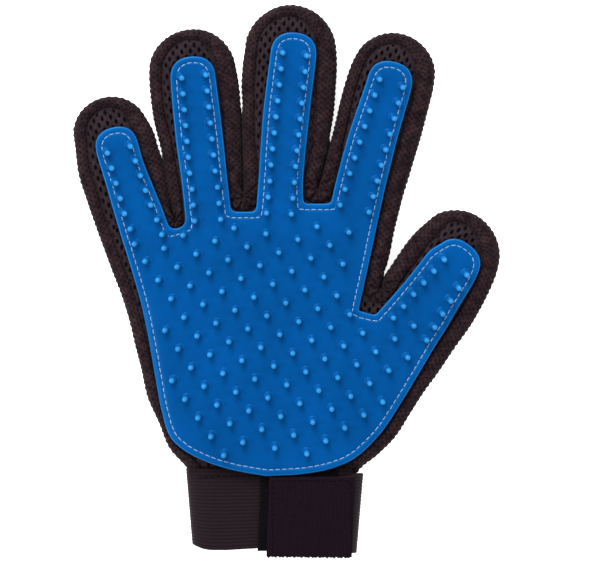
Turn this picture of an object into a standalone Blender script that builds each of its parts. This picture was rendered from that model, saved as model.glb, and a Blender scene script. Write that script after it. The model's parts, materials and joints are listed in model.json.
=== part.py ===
"""A pet grooming glove for the right hand, lying on its back with its silicone palm up.

+X points to the thumb side, +Y to the fingertips and +Z out of the palm. The origin is on the
surface that the glove lies on, under the middle of its outline. Lengths here are in millimetres.

Each finger, and the wrist strap, is built in the frame of an empty on its joint's axis.
"""

import math

import bmesh
import bpy
from mathutils import Matrix, Vector

MM = 0.001
GAP = 0.3  # left between pieces that lie against each other
WELD = 0.01  # points nearer to each other than this are one point
EMPTY_SIZE = 10

# Levels of the layers, from the surface that the glove lies on
FABRIC = 2.5  # thickness of the spacer mesh
LOFT = 19.0  # outer height of the fabric glove
PAD_THICK = 1.7
THREAD = 0.5
PALM_LOW = LOFT - FABRIC
PAD_LOW = LOFT + GAP
PAD_TOP = PAD_LOW + PAD_THICK
THREAD_LOW = PAD_TOP + GAP
THREAD_TOP = THREAD_LOW + THREAD
HINGE_OVER = 0.1
HINGE_Z = THREAD_TOP + HINGE_OVER  # a finger bends on the face that its nubs stand on

# Nubs on the silicone
NUB_HEIGHT = 3.4
NUB_FOOT = 1.45
NUB_HEAD = 1.0
NUB_SIDES = 6
NUB_SINK = 0.8
PALM_PITCH = 9.6
PALM_TURN = math.radians(34.5)
PALM_FIRST = (12.2, 22.7)
PALM_REACH = 16  # nubs of the lattice that are tried on each side of the first
FINGER_PITCH = 6.7
NUB_EDGE = 4.9  # least distance of a nub from the edge of the silicone
NUB_SLACK = 0.3  # a row on a curved strip may come this much nearer to it
NUB_ROOT = 6.0  # least distance of a nub from a finger's root line
STITCH_INSET = 2.6
STITCH_START = 3.0  # a finger's stitching starts this far above its root line
STITCH_TRIM = 1.2  # and the palm's stops this far short of it

# A side is its distance from the finger's centre line at the root, halfway and at the round tip.
# Little side first. "strip" is the silicone on the finger, in the same terms.
FINGERS = {
    "thumb": {
        "root": (54.3, -10.2),
        "lean": 36.1,
        "length": 46.4,
        "sides": ((17.0, 18.4, 17.4), (22.1, 21.2, 17.4)),
        "strip_length": 35.2,
        "strip": ((11.0, 10.2, 9.0), (15.4, 14.0, 12.0)),
    },
    "index": {
        "root": (31.6, 41.4),
        "lean": 15.56,
        "length": 64.8,
        "sides": ((17.1, 17.1, 17.1), (17.0, 17.5, 17.5)),
        "strip_length": 53.5,
        "strip": ((10.8, 11.0, 9.8), (9.5, 8.9, 8.9)),
    },
    "middle": {
        "root": (-2.6, 43.2),
        "lean": 4.24,
        "length": 73.1,
        "sides": ((15.6, 16.4, 17.2), (16.0, 17.8, 18.6)),
        "strip_length": 62.4,
        "strip": ((9.4, 9.5, 8.6), (9.1, 9.7, 10.6)),
    },
    "ring": {
        "root": (-34.2, 38.6),
        "lean": -6.55,
        "length": 68.3,
        "sides": ((15.1, 15.9, 16.6), (15.6, 16.4, 17.1)),
        "strip_length": 56.9,
        "strip": ((9.6, 9.8, 9.6), (9.6, 9.8, 9.6)),
    },
    "little": {
        "root": (-63.8, 23.4),
        "lean": -13.0,
        "length": 55.5,
        "sides": ((16.0, 17.8, 16.6), (16.1, 16.2, 16.3)),
        "strip_length": 42.8,
        "strip": ((6.8, 8.0, 9.2), (13.4, 10.4, 10.0)),
    },
}
WALL_STEPS = 4
TIP_STEPS = 10
CORNER_STEPS = 5
MITRE_LEAST = 0.5  # a sharper corner's mitre is cut off

# Outline of the hand, between the roots of the fingers
WRIST_Y = -79.0
LITTLE_EDGE = [(-74.4, 7.3), (-68.6, -7.2), (-64.3, -21.7), (-60.6, -37.6), (-57.8, -49.2),
               (-52.7, -60.0), (-48.3, -70.1), (-42.4, WRIST_Y)]
THUMB_EDGE = [(30.9, WRIST_Y), (39.5, -70.2), (46.2, -62.6), (54.6, -50.1), (61.7, -40.0),
              (68.0, -30.4)]
CROTCHES = {
    ("thumb", "index"): [(39.3, -1.6), (41.0, 3.5), (42.9, 11.0), (45.5, 26.0)],
    ("index", "middle"): [(13.9, 40.6)],
    ("middle", "ring"): [(-18.35, 38.8)],
    ("ring", "little"): [(-47.3, 25.6)],
}

# Outline of the silicone on the palm, in the same order
PAD_LITTLE_EDGE = [(-66.4, 8.0), (-61.0, -9.4), (-59.2, -21.7), (-55.6, -39.8), (-52.7, -54.2),
                   (-49.1, -65.1), (-43.3, -70.8), (-33.1, -75.9), (-23.0, -79.1), (-8.6, -81.7)]
PAD_THUMB_EDGE = [(5.9, -81.3), (18.1, -79.1), (28.6, -74.5), (38.7, -64.0), (47.4, -51.0),
                  (56.1, -36.6)]
PAD_VALLEYS = {
    ("thumb", "index"): [(38.4, -11.4), (36.6, -13.0), (31.2, -12.0), (34.4, 9.7), (40.2, 27.9)],
    ("index", "middle"): [(18.5, 35.4), (17.0, 33.2), (8.4, 33.0), (6.8, 35.0)],
    ("middle", "ring"): [(-13.0, 32.0), (-14.6, 29.8), (-21.6, 29.8), (-23.3, 32.0)],
    ("ring", "little"): [(-43.0, 27.2), (-44.2, 24.0), (-46.5, 22.9), (-48.8, 24.0)],
}
ORDER = ["thumb", "index", "middle", "ring", "little"]

# Wrist band, in its own cross-section (X, Z), and what lies on it
BAND = 1.5
BAND_Y = (-112.5, WRIST_Y - GAP)
BAND_LEFT = -42.0
BAND_RIGHT = 31.2
BAND_LOW = 0.6
BAND_FRONT = 15.0  # lower face of the band's front layer
BAND_ROUND = 5.0
FRONT_END = 24.0
PIVOT = (BAND_RIGHT + 0.2, 9.5)
LOOP = {"x": (-11.3, 22.0), "y": (-111.0, -84.0), "thick": 0.8}
CUFF_SEAM = {"x": (-38.0, -12.8), "y": -84.4}
TAB = {"x": (-8.3, 25.2), "y": (-116.0, -82.2), "thick": 1.2}
STRAP_Y = (-112.5, -82.6)
HOOK = {"x": (-6.0, 20.0), "y": (-111.5, -84.6), "thick": 0.8}
TAB_SEAM_X = 23.2
STRAP_END = 21.0

COLOURS = {
    "fabric": (0.020, 0.012, 0.014, 0.90),
    "silicone": (0.000, 0.105, 0.402, 0.45),
    "thread": (0.75, 0.78, 0.82, 0.70),
    "elastic": (0.030, 0.022, 0.024, 0.85),
    "hook_tape": (0.016, 0.009, 0.014, 0.80),
}


def clear_scene():
    for old in list(bpy.data.objects):
        bpy.data.objects.remove(old, do_unlink=True)


def material(name):
    """A Principled material, one for each named finish."""
    found = bpy.data.materials.get(name)
    if found:
        return found
    red, green, blue, roughness = COLOURS[name]
    made = bpy.data.materials.new(name)
    made.use_nodes = True
    shader = made.node_tree.nodes["Principled BSDF"]
    shader.inputs["Base Color"].default_value = (red, green, blue, 1.0)
    shader.inputs["Roughness"].default_value = roughness
    shader.inputs["Metallic"].default_value = 0.0
    return made


def new_collection(name):
    made = bpy.data.collections.new(name)
    bpy.context.scene.collection.children.link(made)
    return made


def empty(name, place, turn):
    """The frame of a moving body: its origin is on the joint's axis."""
    made = bpy.data.objects.new(name, None)
    made.empty_display_size = EMPTY_SIZE * MM
    made.location = [v * MM for v in place]
    made.rotation_euler = (0.0, 0.0, turn)
    glove.objects.link(made)
    return made


def to_mesh(made):
    """Turns an evaluated curve into a welded mesh in the same place."""
    bpy.context.view_layer.update()
    evaluated = made.evaluated_get(bpy.context.evaluated_depsgraph_get())
    mesh = bpy.data.meshes.new_from_object(evaluated)
    solid = bmesh.new()
    solid.from_mesh(mesh)
    bmesh.ops.remove_doubles(solid, verts=solid.verts, dist=WELD * MM)
    bmesh.ops.recalc_face_normals(solid, faces=solid.faces)
    solid.to_mesh(mesh)
    solid.free()
    welded = bpy.data.objects.new(made.name + "_welded", mesh)
    welded.matrix_world = made.matrix_world.copy()
    bpy.data.objects.remove(made, do_unlink=True)
    return welded


def flat_curve(name, outline, low, high):
    """A plate: a closed 2D outline with a thickness."""
    curve = bpy.data.curves.new(name, "CURVE")
    curve.dimensions = "2D"
    curve.fill_mode = "BOTH"
    curve.extrude = (high - low) * MM / 2
    spline = curve.splines.new("POLY")
    spline.points.add(len(outline) - 1)
    for point, (x, y) in zip(spline.points, outline):
        point.co = (x * MM, y * MM, 0.0, 1.0)
    spline.use_cyclic_u = True
    made = bpy.data.objects.new(name, curve)
    glove.objects.link(made)
    return made


def finish(made, name, colour, parent):
    made.name = name
    made.data.name = name
    made.data.materials.clear()
    made.data.materials.append(material(colour))
    if made.name not in glove.objects:
        glove.objects.link(made)
    if parent is not None:
        made.parent = parent
    return made


def plate(name, outline, low, high, colour, parent=None):
    """A flat piece between two levels; a parent's levels are counted from its own origin."""
    curve = flat_curve(name + "_outline", outline, low, high)
    curve.location = (0.0, 0.0, (low + high) * MM / 2)
    return finish(to_mesh(curve), name, colour, parent)


def section(name, outline, y_low, y_high, colour, parent=None):
    """A piece with one cross-section (X, Z), along Y."""
    curve = flat_curve(name + "_section", outline, y_low, y_high)
    curve.rotation_euler = (math.pi / 2, 0.0, 0.0)
    curve.location = (0.0, (y_low + y_high) * MM / 2, 0.0)
    return finish(to_mesh(curve), name, colour, parent)


def box(name, x, y, z, colour, parent=None):
    outline = [(x[0], y[0]), (x[1], y[0]), (x[1], y[1]), (x[0], y[1])]
    return plate(name, outline, z[0], z[1], colour, parent)


def offset(path, distance):
    """The path moved to its left by a distance, with its corners mitred."""
    moved = []
    for i, point in enumerate(path):
        here = Vector(point)
        before = (here - Vector(path[i - 1])).normalized() if i > 0 else None
        after = (Vector(path[i + 1]) - here).normalized() if i < len(path) - 1 else None
        before = before or after
        after = after or before
        bisector = (before + after).normalized()
        normal = Vector((-bisector.y, bisector.x))
        reach = distance / max(MITRE_LEAST, bisector.dot(before))
        moved.append(tuple(here + normal * reach))
    return moved


def ribbon(path, width):
    """The outline of a strip that has the path as one edge and lies on the path's left."""
    return list(path) + offset(path, width)[::-1]


def rounded(path, corners):
    """The path with each inner point in corners (index: radius) replaced by an arc."""
    out = []
    for i, point in enumerate(path):
        if i not in corners:
            out.append(point)
            continue
        here = Vector(point)
        back = (Vector(path[i - 1]) - here).normalized()
        on = (Vector(path[i + 1]) - here).normalized()
        half = back.angle(on) / 2
        run = corners[i] / math.tan(half)
        centre = here + (back + on).normalized() * corners[i] / math.sin(half)
        start = here + back * run - centre
        sweep = start.angle_signed(here + on * run - centre)
        for k in range(CORNER_STEPS + 1):
            arm = start.copy()
            arm.rotate(Matrix.Rotation(-sweep * k / CORNER_STEPS, 2))
            out.append(tuple(centre + arm))
    return out


def through(values, top, y):
    """The quadratic through three distances at 0, top / 2 and top."""
    t = y / top
    first, half, last = values
    return (first * (1 - t) * (1 - 2 * t) + half * 4 * t * (1 - t) + last * t * (2 * t - 1))


def finger_path(sides, length, inset=0.0, start=0.0):
    """From the root's thumb side, round the tip, to the root's little side."""
    little, thumb = sides
    radius = (little[2] + thumb[2]) / 2
    middle = (thumb[2] - little[2]) / 2
    top = length - radius
    levels = [start + (top - start) * k / WALL_STEPS for k in range(WALL_STEPS)]
    up = [(through(thumb, top, y) - inset, y) for y in levels]
    arc = []
    for k in range(TIP_STEPS + 1):
        angle = math.pi * k / TIP_STEPS
        arm = radius - inset
        arc.append((middle + arm * math.cos(angle), top + arm * math.sin(angle)))
    down = [(inset - through(little, top, y), y) for y in reversed(levels)]
    return up + arc + down


def place(finger, x, y):
    """A point of a finger's frame, in the glove's frame."""
    lean = math.radians(finger["lean"])
    root_x, root_y = finger["root"]
    return (root_x + x * math.cos(lean) + y * math.sin(lean),
            root_y - x * math.sin(lean) + y * math.cos(lean))


def inside_by(outline, x, y):
    """How far a point is inside a closed outline; negative outside."""
    inside = False
    nearest = math.inf
    here = Vector((x, y))
    for i, corner in enumerate(outline):
        a = Vector(outline[i - 1])
        b = Vector(corner)
        along = b - a
        t = min(1.0, max(0.0, (here - a).dot(along) / along.length_squared))
        nearest = min(nearest, (here - a - along * t).length)
        if (a.y > y) != (b.y > y) and x < a.x + (y - a.y) * along.x / along.y:
            inside = not inside
    return nearest if inside else -nearest


def add_nubs(pad, points, top):
    """Stands a tapered nub on the pad at each point, and joins them all to it."""
    solid = bmesh.new()
    height = NUB_HEIGHT + NUB_SINK
    for x, y in points:
        middle = Vector((x, y, top + (NUB_HEIGHT - NUB_SINK) / 2)) * MM
        bmesh.ops.create_cone(
            solid,
            cap_ends=True,
            segments=NUB_SIDES,
            radius1=NUB_FOOT * MM,
            radius2=NUB_HEAD * MM,
            depth=height * MM,
            matrix=Matrix.Translation(middle),
        )
    mesh = bpy.data.meshes.new("nubs")
    solid.to_mesh(mesh)
    solid.free()
    nubs = bpy.data.objects.new(pad.name + "_nub_cutter", mesh)
    nubs.hide_render = True
    nubs.display_type = "WIRE"
    nubs.parent = pad.parent
    cutters.objects.link(nubs)
    union = pad.modifiers.new("nubs", "BOOLEAN")
    union.operation = "UNION"
    union.solver = "EXACT"
    union.object = nubs


def finger_nubs(finger):
    """Two rows along the silicone strip, each just inside the stitching."""
    outline = finger_path(finger["strip"], finger["strip_length"])
    little, thumb = finger["strip"]
    top = finger["strip_length"] - (little[2] + thumb[2]) / 2
    points = []
    count = int((finger["strip_length"] - NUB_EDGE - NUB_ROOT) / FINGER_PITCH) + 1
    for k in range(count):
        y = NUB_ROOT + k * FINGER_PITCH
        level = min(y, top)
        for x in (NUB_EDGE - through(little, top, level), through(thumb, top, level) - NUB_EDGE):
            if inside_by(outline, x, y) >= NUB_EDGE - NUB_SLACK:
                points.append((x, y))
    return points


def palm_nubs(outline):
    """A square lattice, turned on the palm, inside the stitching and clear of the root lines."""
    along = (PALM_PITCH * math.cos(PALM_TURN), PALM_PITCH * math.sin(PALM_TURN))
    points = []
    steps = range(-PALM_REACH, PALM_REACH + 1)
    for i in steps:
        for j in steps:
            x = PALM_FIRST[0] + i * along[0] + j * along[1]
            y = PALM_FIRST[1] + i * along[1] - j * along[0]
            if inside_by(outline, x, y) < NUB_EDGE:
                continue
            if all(below_root(finger, x, y) > NUB_ROOT for finger in FINGERS.values()):
                points.append((x, y))
    return points


def below_root(finger, x, y):
    """How far a point is below a finger's root line, towards the wrist."""
    lean = math.radians(finger["lean"])
    over_x = x - finger["root"][0]
    over_y = y - finger["root"][1]
    across = over_x * math.cos(lean) - over_y * math.sin(lean)
    if abs(across) > max(finger["sides"][0][0], finger["sides"][1][0]):
        return math.inf
    return -(over_x * math.sin(lean) + over_y * math.cos(lean))


def make_finger(name):
    """The palm side, back, side band, silicone strip and stitching of one finger."""
    finger = FINGERS[name]
    root = (finger["root"][0], finger["root"][1], HINGE_Z)
    frame = empty(name + "_hinge", root, -math.radians(finger["lean"]))
    fabric = finger_path(finger["sides"], finger["length"], start=GAP / 2)
    silicone = finger_path(finger["strip"], finger["strip_length"], start=GAP / 2)
    seam = finger_path(finger["strip"], finger["strip_length"], STITCH_INSET, STITCH_START)

    def layer(part, outline, low, high, colour):
        return plate(f"{name}_{part}", outline, low - HINGE_Z, high - HINGE_Z, colour, frame)

    layer("palm_mesh", fabric, PALM_LOW, LOFT, "fabric")
    layer("back_mesh", fabric, 0.0, FABRIC, "fabric")
    layer("side_gusset", ribbon(fabric, FABRIC), FABRIC + GAP, PALM_LOW - GAP, "fabric")
    pad = layer("grooming_strip", silicone, PAD_LOW, PAD_TOP, "silicone")
    add_nubs(pad, finger_nubs(finger), PAD_TOP - HINGE_Z)
    layer("stitch_thread", ribbon(seam, THREAD), THREAD_LOW, THREAD_TOP, "thread")


def root_corner(name, side, key):
    """The corner of the hand at a finger's root, on its little side (0) or thumb side (1)."""
    finger = FINGERS[name]
    reach = finger[key][side][0]
    return place(finger, reach if side else -reach, -GAP / 2)


def valley(pair, key, between):
    """From one finger's little-side corner, down between two fingers, to the next one's."""
    first, second = pair
    return [root_corner(first, 0, key)] + list(between) + [root_corner(second, 1, key)]


def make_hand():
    """The hand's two mesh panels and the side bands between them."""
    outline = [root_corner("thumb", 1, "sides")]
    for pair, between in CROTCHES.items():
        outline += valley(pair, "sides", between)
    outline.append(root_corner("little", 0, "sides"))
    outline += LITTLE_EDGE + THUMB_EDGE
    plate("hand_palm_mesh", outline, PALM_LOW, LOFT, "fabric")
    plate("hand_back_mesh", outline, 0.0, FABRIC, "fabric")

    low, high = FABRIC + GAP, PALM_LOW - GAP
    little = [root_corner("little", 0, "sides")] + LITTLE_EDGE
    thumb = THUMB_EDGE + [root_corner("thumb", 1, "sides")]
    plate("hand_little_gusset", ribbon(little, FABRIC), low, high, "fabric")
    plate("hand_thumb_gusset", ribbon(thumb, FABRIC), low, high, "fabric")
    for pair, between in CROTCHES.items():
        path = valley(pair, "sides", between)
        wall = ribbon(path, FABRIC)
        plate(f"{pair[0]}_{pair[1]}_gusset", wall, low, high, "fabric")


def make_pad():
    """The silicone on the palm, its nubs, and its stitching between the roots of the fingers."""
    outline = [root_corner("thumb", 1, "strip")]
    for pair, between in PAD_VALLEYS.items():
        outline += valley(pair, "strip", between)
    outline.append(root_corner("little", 0, "strip"))
    edge = PAD_LITTLE_EDGE + PAD_THUMB_EDGE
    outline += edge
    pad = plate("grooming_pad", outline, PAD_LOW, PAD_TOP, "silicone")
    add_nubs(pad, palm_nubs(outline), PAD_TOP)

    rim = offset([root_corner("little", 0, "strip")] + edge
                 + [root_corner("thumb", 1, "strip")], STITCH_INSET)
    plate("palm_edge_thread", ribbon(trimmed(rim), THREAD), THREAD_LOW, THREAD_TOP, "thread")
    for pair, between in PAD_VALLEYS.items():
        path = offset(valley(pair, "strip", between), STITCH_INSET)
        seam = ribbon(trimmed(path), THREAD)
        plate(f"{pair[0]}_{pair[1]}_thread", seam, THREAD_LOW, THREAD_TOP, "thread")


def trimmed(path):
    """The path without a short length at each end."""
    def cut(end, inner):
        back = Vector(inner) - Vector(end)
        return tuple(Vector(end) + back.normalized() * STITCH_TRIM)
    return [cut(path[0], path[1])] + list(path[1:-1]) + [cut(path[-1], path[-2])]


def make_wrist():
    """The elastic band round the wrist, open at the thumb side of the palm, and its loop patch."""
    middle = BAND_LOW + BAND / 2
    left = BAND_LEFT + BAND / 2
    right = BAND_RIGHT - BAND / 2
    front = BAND_FRONT + BAND / 2
    path = [(FRONT_END, front), (left, front), (left, middle), (right, middle),
            (right, PIVOT[1] - GAP / 2)]
    path = rounded(path, {1: BAND_ROUND, 2: BAND_ROUND, 3: BAND_ROUND})
    outline = ribbon(offset(path, -BAND / 2), BAND)
    section("wrist_elastic", outline, BAND_Y[0], BAND_Y[1], "elastic")
    low = BAND_FRONT + BAND + GAP
    box("loop_patch", LOOP["x"], LOOP["y"], (low, low + LOOP["thick"]), "hook_tape")
    seam_y = CUFF_SEAM["y"]
    box("cuff_stitch_thread", CUFF_SEAM["x"], (seam_y, seam_y + THREAD), (low, low + THREAD),
        "thread")


def from_pivot(across):
    """Two X values, counted from the strap's pivot."""
    return (across[0] - PIVOT[0], across[1] - PIVOT[0])


def make_strap():
    """The end of the elastic that closes over the palm side, with its hook tape."""
    frame = empty("strap_hinge", (PIVOT[0], 0.0, PIVOT[1]), 0.0)
    hook_low = BAND_FRONT + BAND + GAP + LOOP["thick"] + GAP - PIVOT[1]
    right = BAND_RIGHT - BAND / 2 - PIVOT[0]
    run = hook_low + BAND / 2
    path = [(right, GAP / 2), (right, run), (STRAP_END - PIVOT[0], run)]
    path = rounded(path, {1: BAND_ROUND})
    outline = ribbon(offset(path, -BAND / 2), BAND)
    section("strap_elastic", outline, STRAP_Y[0], STRAP_Y[1], "elastic", frame)
    tab_low = hook_low + BAND + GAP
    tab_top = tab_low + TAB["thick"]
    box("hook_tape", from_pivot(TAB["x"]), TAB["y"], (tab_low, tab_top), "hook_tape", frame)
    hook_z = (hook_low, hook_low + HOOK["thick"])
    box("hook_field", from_pivot(HOOK["x"]), HOOK["y"], hook_z, "hook_tape", frame)
    seam_x = from_pivot((TAB_SEAM_X, TAB_SEAM_X + THREAD))
    seam_z = (tab_top + GAP, tab_top + GAP + THREAD)
    box("strap_stitch_thread", seam_x, HOOK["y"], seam_z, "thread", frame)


clear_scene()
glove = new_collection("grooming_glove")
cutters = new_collection("cutters")
for each in ORDER:
    make_finger(each)
make_hand()
make_pad()
make_wrist()
make_strap()
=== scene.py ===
"""The looks of the grooming glove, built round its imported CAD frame.

The frame's units are metres. Lengths in this script are millimetres, turned into metres where a
mesh is made. +X is the thumb side, +Y the fingertips, +Z out of the palm.
"""

import json
import math

import bmesh
import bpy
import numpy as np
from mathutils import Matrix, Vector
from mathutils.geometry import delaunay_2d_cdt
from mathutils.kdtree import KDTree


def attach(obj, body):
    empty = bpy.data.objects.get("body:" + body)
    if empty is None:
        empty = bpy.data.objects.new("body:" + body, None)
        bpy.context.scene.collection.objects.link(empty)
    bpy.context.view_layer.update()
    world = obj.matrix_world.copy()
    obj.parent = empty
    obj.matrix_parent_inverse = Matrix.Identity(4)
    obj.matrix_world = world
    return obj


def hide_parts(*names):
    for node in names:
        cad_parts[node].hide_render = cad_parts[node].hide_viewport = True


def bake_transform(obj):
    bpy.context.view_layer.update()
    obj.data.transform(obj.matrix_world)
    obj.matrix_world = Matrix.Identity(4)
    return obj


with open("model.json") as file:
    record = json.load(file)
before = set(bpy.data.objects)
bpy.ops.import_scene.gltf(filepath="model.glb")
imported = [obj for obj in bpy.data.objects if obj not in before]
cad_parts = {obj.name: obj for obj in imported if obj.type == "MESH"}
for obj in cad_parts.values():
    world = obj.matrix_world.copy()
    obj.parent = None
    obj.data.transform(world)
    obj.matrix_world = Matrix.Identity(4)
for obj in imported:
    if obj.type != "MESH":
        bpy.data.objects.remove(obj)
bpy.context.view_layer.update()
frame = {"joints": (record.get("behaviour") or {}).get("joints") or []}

MM = 0.001
FINGERS = ("little", "ring", "middle", "index", "thumb")

# ---- layers of the glove
EDGE_Z = 9.5  # half way up the side band
SEAM_U = 4.72  # depth of the band's drawn section; each column is stretched to its own depth
SEAM_TIP = 4.3  # the seam's distance from the outline at the fingertips,
SEAM_LEFT = 5.2  # on the little side of the fingers,
SEAM_THUMB = 9.5  # on the same side of the thumb,
SEAM_RIGHT = 8.3  # on their thumb side,
SEAM_CROTCH = 7.2  # and round the crotches
SEAM_COVER = 0.4  # it runs at most this far under the silicone
SEAM_Z = 17.5  # the seam's height
SEAM_EVEN = 33  # columns over which its distance is evened out
SEAM_TURN = 1.5  # power: the higher, the later it changes as the outline turns to a side
SEAM_LINE = 0.8  # width of its painted shade line
CROTCH_FADE = (7.0, 16.0)  # a fade has where it starts and how wide it is
PAD_FOOT = 18.7
PAD_FACE = 20.9
FACE_RISE = 0.03  # the silicone's face stands this much above its border
STITCH_U = 2.6
# The side band's closed section as (depth from the outline, height)
BAND_CROWN = [(SEAM_U, SEAM_Z), (4.4, 18.0), (3.8, 18.6), (2.9, 19.0), (1.9, 18.8), (1.0, 18.0),
              (0.4, 16.7), (0.1, 15.0), (0.0, 12.5), (0.0, EDGE_Z)]
BAND_SKIRT = [(0.0, EDGE_Z), (0.1, 6.0), (0.6, 2.7), (1.8, 0.8), (4.0, 0.15), (8.0, 0.05)]
BAND_LINING = [(8.0, 2.0), (5.5, 2.2), (3.3, 3.6), (2.4, 7.0), (2.4, 12.0), (3.0, 14.2),
               (SEAM_U, 14.9)]
SKIRT_STEP = 1.0
HEM = 8.0  # the back cloth begins this far inside the outline
BACK_Z = (0.05, 2.0)
PALM_UNDER = 14.9  # underside of the palm's cloth
PALM_Z = 18.45  # the palm's cloth under the silicone,
PALM_LIP = (0.3, 1.2)  # how much it rises outside it, and over what width
SEAM_SLOPE = (1.2, 2.0)  # the same beside the seam
UNDER_PAD = 1.2  # the fine mesh of points runs this far under the silicone

# ---- outline of the cloth
# Each finger: centre and radius of its round tip, the angles where the round starts and ends
# (counted from the thumb side), and the points of its sides below that.
TIPS = {
    "little": {"centre": (-73.7, 61.9), "radius": 16.0, "arc": (196, 22),
               "before": [(-84.4, 35.6), (-87.7, 46.2)],
               "after": [(-56.1, 62.5), (-54.6, 57.4), (-53.45, 54.0)]},
    "ring": {"centre": (-39.7, 88.1), "radius": 18.2, "arc": (186, 2),
             "before": [(-52.6, 54.3), (-53.7, 59.3), (-56.4, 70.9)],
             "after": [(-20.1, 80.0), (-19.6, 74.5)]},
    "middle": {"centre": (1.5, 96.9), "radius": 19.3, "arc": (182, -2),
               "before": [(-18.65, 74.5), (-18.85, 82.0)],
               "after": [(20.4, 82.0), (19.7, 71.5), (18.5, 64.0), (17.95, 60.8)]},
    "index": {"centre": (44.6, 87.0), "radius": 17.7, "arc": (160, -14),
              "before": [(18.8, 60.2), (20.65, 67.7), (22.6, 76.3), (25.1, 85.2)],
              "after": [(60.3, 75.9), (56.2, 60.8), (51.8, 45.7), (48.1, 34.0), (45.4, 23.0),
                        (43.4, 12.5), (42.1, 7.7), (41.1, 4.7)]},
    "thumb": {"centre": (70.6, 11.1), "radius": 18.95, "arc": (108, -20),
              "before": [(42.8, 4.8), (46.0, 9.8), (52.6, 19.0), (58.4, 24.6)],
              "after": [(84.0, -6.3), (79.1, -15.2)]},
}
# Between two fingers: where their sides begin to touch, and the crotch
CROTCHES = {
    ("little", "ring"): [(-52.5, 51.8), (-49.9, 38.0), (-47.0, 25.4)],
    ("ring", "middle"): [(-19.0, 70.2), (-18.6, 52.0), (-18.3, 35.6)],
    ("middle", "index"): [(18.1, 58.4), (15.4, 48.0), (13.0, 39.4)],
    ("index", "thumb"): [(40.8, 2.2), (39.3, -2.4)],
}
LITTLE_EDGE = [(-37.0, -92.0), (-38.8, -83.0), (-42.4, -78.0), (-48.9, -70.3), (-53.5, -60.0),
               (-58.1, -49.2), (-61.4, -36.0), (-64.9, -21.7), (-69.1, -7.2), (-74.5, 7.3),
               (-80.0, 22.0)]
THUMB_EDGE = [(72.1, -25.5), (65.1, -35.8), (58.1, -45.6), (51.7, -55.4), (45.3, -65.5),
              (37.6, -72.9), (31.6, -77.8), (28.4, -82.5), (27.0, -92.0)]
TOUCH = 0.1  # half the gap between two touching fingers
PATH_STEP = 0.42
CROWN_STEP = 0.36
CORNER_STEPS = 14
FAN = 56  # columns round a crotch

# ---- outline of the silicone
# The strip on each finger: centre and radius of its round tip, the angles of the round, and the
# points of its sides between the round and the corners
STRIPS = {
    "little": {"centre": (-71.2, 56.0), "radius": 9.0, "arc": (192, 14),
               "before": [(-76.0, 40.6)], "after": [(-60.3, 50.6), (-56.3, 40.6), (-52.4, 31.0)]},
    "ring": {"centre": (-39.4, 85.1), "radius": 9.5, "arc": (184, 4),
             "before": [(-44.1, 40.6), (-46.8, 60.8)], "after": [(-26.8, 60.8), (-24.7, 40.6)]},
    "middle": {"centre": (2.7, 95.0), "radius": 9.65, "arc": (176, -6),
               "before": [(-12.1, 40.6), (-10.0, 70.9)], "after": [(9.6, 70.9), (6.8, 40.6)]},
    "index": {"centre": (43.0, 83.1), "radius": 9.5, "arc": (168, -12),
              "before": [(20.2, 40.6), (25.6, 60.8)],
              "after": [(46.6, 60.8), (41.6, 40.6), (37.1, 20.0), (34.9, 9.7)]},
    "thumb": {"centre": (70.4, 7.2), "radius": 10.3, "arc": (122, -18),
              "before": [(49.4, -0.1), (55.1, 7.0), (60.0, 13.0)], "after": [(78.7, 0.1)]},
}
# The two corners of the silicone between neighbouring strips, with the length that rounds each
VALLEYS = (
    [((-48.9, 21.6), 3.2), ((-42.4, 23.6), 3.2)],
    [((-23.4, 29.4), 2.4), ((-13.0, 29.4), 2.4)],
    [((7.0, 32.8), 2.0), ((18.5, 32.8), 2.0)],
    [((30.1, -12.2), 1.0), ((37.2, -14.1), 1.6)],
)
PALM_END = (-8.6, -81.7)
LITTLE_SIDE = [(-23.0, -79.1), (-33.1, -75.9), (-43.3, -70.8), (-49.1, -65.1), (-52.7, -54.2),
               (-55.4, -39.8), (-58.6, -21.7), (-61.6, -8.0), (-66.2, 8.0), (-70.1, 20.5),
               (-73.1, 30.6)]
THUMB_SIDE = [(72.6, -10.0), (66.8, -20.0), (63.0, -25.9), (56.5, -36.8), (47.8, -51.2),
              (39.0, -64.2), (28.4, -74.2), (18.1, -78.7), (5.9, -80.9)]
RIM_STEP = 0.5
DROOP = 1.3  # the silicone bends down over the little side of the palm by this much,
DROOP_WIDE = 6.5  # over this width,
DROOP_Y = (-74.0, 4.0)  # between these heights
DROOP_FADE = 16.0
TIP_SQUARE = 0.055
STRIP_ARC = 15.0  # degrees between the points of a round tip
SHARP_TRIM = 0.05  # what is left of a corner's rounding where it is meant to be sharp
OFF_GRID = 0.0137  # keeps grid rows off the outline's own points
# The silicone's edge as (depth from the outline, height), from its foot inwards
RIM = [(0.3, PAD_FOOT), (0.0, PAD_FOOT + 0.2), (0.0, 20.25), (0.1, 20.6),
       (0.35, 20.82), (0.8, PAD_FACE), (1.5, PAD_FACE + FACE_RISE), (2.05, PAD_FACE),
       (2.35, 20.78), (2.6, 20.66), (2.85, 20.78), (3.2, PAD_FACE - 0.02),
       (3.8, PAD_FACE + FACE_RISE)]
BORDER_SHEEN = 0.38  # painted sheen from the edge to the stitches, above BORDER_LOW
BORDER_LOW = 20.0
EDGE_HIGHLIGHT = 0.64  # painted highlight on the rounded edge: nearer to the outline and higher than EDGE
EDGE = (0.5, 20.5)

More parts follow.
